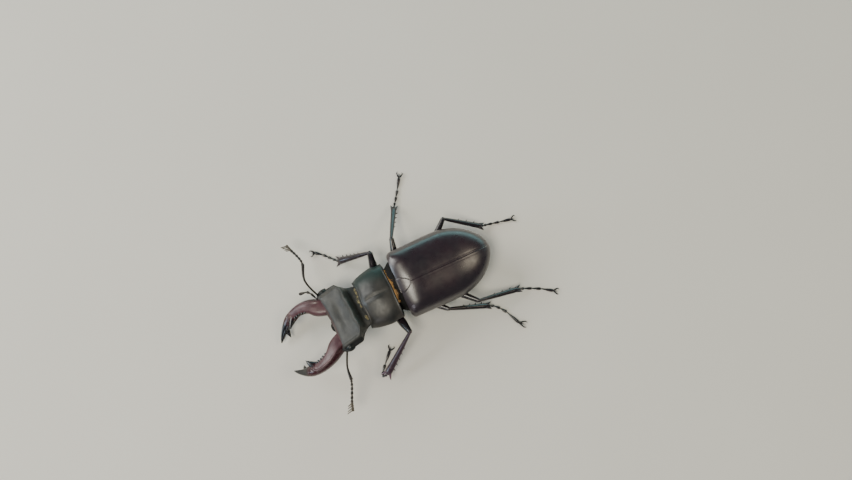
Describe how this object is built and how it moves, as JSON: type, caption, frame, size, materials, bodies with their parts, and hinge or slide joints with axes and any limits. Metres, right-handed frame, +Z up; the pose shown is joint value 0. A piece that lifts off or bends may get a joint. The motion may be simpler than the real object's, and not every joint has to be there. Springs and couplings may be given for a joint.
{
  "type": "stag beetle model",
  "caption": "Life-size museum model of a male stag beetle standing with head raised and turned, with antler-like forked mandibles, domed wing cases and spread legs.",
  "frame": {"origin": "middle of the outline's footprint, on the ground plane that the feet stand on", "axes": "+Z up, the head points towards -Y, +X is the beetle's own left side"},
  "size_m": [0.0526, 0.0716, 0.0142],
  "materials": {
    "elytra_shell": "dark maroon-brown shell, glossy to satin",
    "pronotum_shell": "grey-black satin shell, finely pitted",
    "head_shell": "grey-black satin shell, finely granular",
    "mandible_horn": "mauve-red glossy horn, black at the tips and teeth",
    "eye": "black glossy",
    "feeler": "black-brown satin",
    "leg_shell": "black glossy shell",
    "belly_shell": "dark brown satin shell"
  },
  "bodies": {
    "root": {"abdomen": "belly_shell", "antenna_club_left": "feeler", "antenna_club_right": "feeler", "antenna_funicle_left": "feeler", "antenna_funicle_right": "feeler", "antenna_scape_left": "feeler", "antenna_scape_right": "feeler", "coxa_fore_left": "leg_shell", "coxa_fore_right": "leg_shell", "coxa_hind_left": "leg_shell", "coxa_hind_right": "leg_shell", "coxa_mid_left": "leg_shell", "coxa_mid_right": "leg_shell", "elytron_left": "elytra_shell", "elytron_right": "elytra_shell", "eye_left": "eye", "eye_right": "eye", "femur_fore_left": "leg_shell", "femur_fore_right": "leg_shell", "femur_hind_left": "leg_shell", "femur_hind_right": "leg_shell", "femur_mid_left": "leg_shell", "femur_mid_right": "leg_shell", "head": "head_shell", "labrum": "head_shell", "mandible_left": "mandible_horn", "mandible_right": "mandible_horn", "mentum": "belly_shell", "palp_left": "feeler", "palp_right": "feeler", "pronotum": "pronotum_shell", "prosternum": "belly_shell", "pterothorax": "belly_shell", "scutellum": "elytra_shell", "tarsus_fore_left": "leg_shell", "tarsus_fore_right": "leg_shell", "tarsus_hind_left": "leg_shell", "tarsus_hind_right": "leg_shell", "tarsus_mid_left": "leg_shell", "tarsus_mid_right": "leg_shell", "tibia_fore_left": "leg_shell", "tibia_fore_right": "leg_shell", "tibia_hind_left": "leg_shell", "tibia_hind_right": "leg_shell", "tibia_mid_left": "leg_shell", "tibia_mid_right": "leg_shell"}
  },
  "joints": []
}
